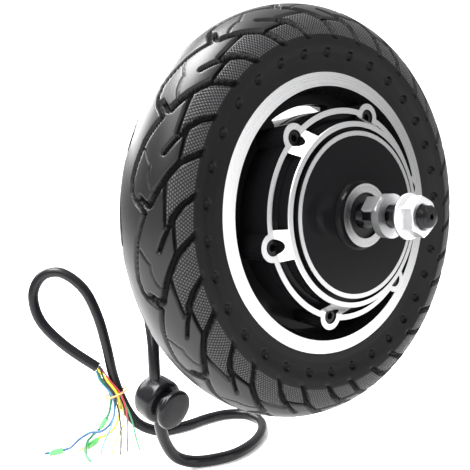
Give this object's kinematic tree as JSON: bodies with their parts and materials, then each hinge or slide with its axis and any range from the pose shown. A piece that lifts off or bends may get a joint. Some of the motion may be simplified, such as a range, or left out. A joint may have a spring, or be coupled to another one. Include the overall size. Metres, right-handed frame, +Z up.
{
  "type": "hub motor wheel",
  "caption": "Scooter wheel with a pneumatic tyre on a cast rim, an outrunner motor in its hub, a fixed threaded axle, and a motor cable ending in bare-terminal wires.",
  "frame": {"origin": "wheel centre on the axle, midway between the axle's ends", "axes": "+Y along the axle to the side the cable leaves, +Z up, the wheel spins about Y"},
  "size_m": [0.2749, 0.2402, 0.296],
  "materials": {
    "tyre": "matt moulded rubber",
    "painted_alloy": "gloss black paint over cast aluminium, machined bright on the rims and ears",
    "machined_alloy": "turned, fine concentric tool marks",
    "blackened_steel": "black oxide, oiled",
    "bearing_steel": "ground and polished",
    "cage_brass": "stamped",
    "zinc_steel": "bright zinc plate",
    "core_steel": "stacked laminations",
    "magnet": "nickel plate",
    "copper": "enamelled copper wire",
    "board": "solder mask",
    "black_plastic": "moulded",
    "black_rubber": "moulded, semi-gloss",
    "cable_sheath": "extruded, satin",
    "tie_orange": "soft vinyl",
    "wire_yellow": "vinyl insulation",
    "wire_green": "vinyl insulation",
    "wire_blue": "vinyl insulation",
    "wire_red": "vinyl insulation",
    "wire_black": "vinyl insulation",
    "sleeve_green": "translucent vinyl",
    "terminal": "tin-plated brass"
  },
  "bodies": {
    "axle": {"axle": "blackened_steel", "stator_key": "bearing_steel", "stator_support": "machined_alloy", "stator_core": "core_steel", "windings": "copper", "hall_board": "board", "hall_sensors": "black_plastic", "inner_leads": "cable_sheath", "front_bearing_inner": "bearing_steel", "rear_bearing_inner": "bearing_steel", "front_tab_washer": "zinc_steel", "rear_tab_washer": "zinc_steel", "front_flat_washer": "zinc_steel", "rear_flat_washer": "zinc_steel", "front_flange_nut": "zinc_steel", "rear_flange_nut": "zinc_steel", "cable_strain_relief": "black_rubber", "motor_cable": "cable_sheath", "cable_grommet": "black_rubber", "wire_tie": "tie_orange", "phase_wire_yellow": "wire_yellow", "phase_wire_green": "wire_green", "phase_wire_blue": "wire_blue", "hall_wire_red": "wire_red", "hall_wire_black": "wire_black", "hall_wire_yellow": "wire_yellow", "hall_wire_green": "wire_green", "hall_wire_blue": "wire_blue", "terminal_sleeves": "sleeve_green", "phase_terminals": "terminal", "hall_terminals": "terminal"},
    "wheel": {"rim_shell": "painted_alloy", "tyre": "tyre", "flux_ring": "core_steel", "magnets": "magnet", "front_cover": "painted_alloy", "rear_cover": "painted_alloy", "front_cover_screws": "blackened_steel", "rear_cover_screws": "blackened_steel", "front_bearing_outer": "bearing_steel", "rear_bearing_outer": "bearing_steel", "front_seal": "black_rubber", "rear_seal": "black_rubber", "valve_stem": "black_rubber", "valve_cap": "black_plastic"},
    "bearing_balls": {"front_bearing_balls": "bearing_steel", "front_bearing_cage": "cage_brass", "rear_bearing_balls": "bearing_steel", "rear_bearing_cage": "cage_brass"}
  },
  "joints": [
    {"name": "wheel_spin", "type": "hinge", "parent": "axle", "child": "wheel", "pos_m": [0, 0, 0], "axis": [0, 1, 0], "continuous": true},
    {"name": "cage_spin", "type": "hinge", "parent": "axle", "child": "bearing_balls", "pos_m": [0, 0, 0], "axis": [0, 1, 0], "continuous": true}
  ],
  "couplings": [
    {"joint": "cage_spin", "follows": "wheel_spin", "ratio": 0.6192}
  ]
}
